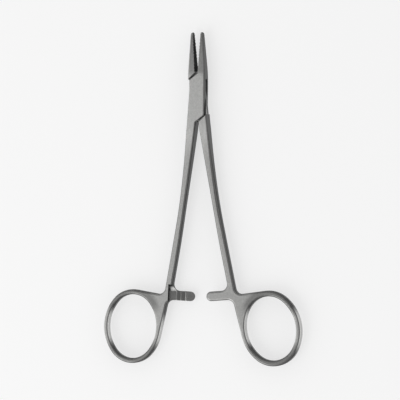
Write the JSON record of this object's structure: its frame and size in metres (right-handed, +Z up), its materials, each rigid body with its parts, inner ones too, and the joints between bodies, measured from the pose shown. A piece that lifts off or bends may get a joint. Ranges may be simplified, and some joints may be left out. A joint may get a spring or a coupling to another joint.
{
  "type": "surgical needle holder",
  "caption": "Slim steel needle holder: two crossed forged halves joined by a riveted box lock, with cross-cut jaws, ratchet bars and oval finger rings.",
  "frame": {"origin": "on the hinge axis, in the plane of the box lock's underside", "axes": "+Y along the instrument towards the jaw tips, +X across it, +Z up along the hinge axis as it lies flat"},
  "size_m": [0.082, 0.1303, 0.0048],
  "materials": {
    "satin_steel": "fine satin, blasted and brushed",
    "pin_steel": "ground flush and satin"
  },
  "bodies": {
    "box_body": {"box_half": "satin_steel", "hinge_pin": "pin_steel"},
    "through_body": {"through_half": "satin_steel"}
  },
  "joints": [
    {"name": "box_lock", "type": "hinge", "parent": "box_body", "child": "through_body", "pos_m": [0, 0, 0], "axis": [0, 0, 1], "range_deg": [-7, 45]}
  ]
}
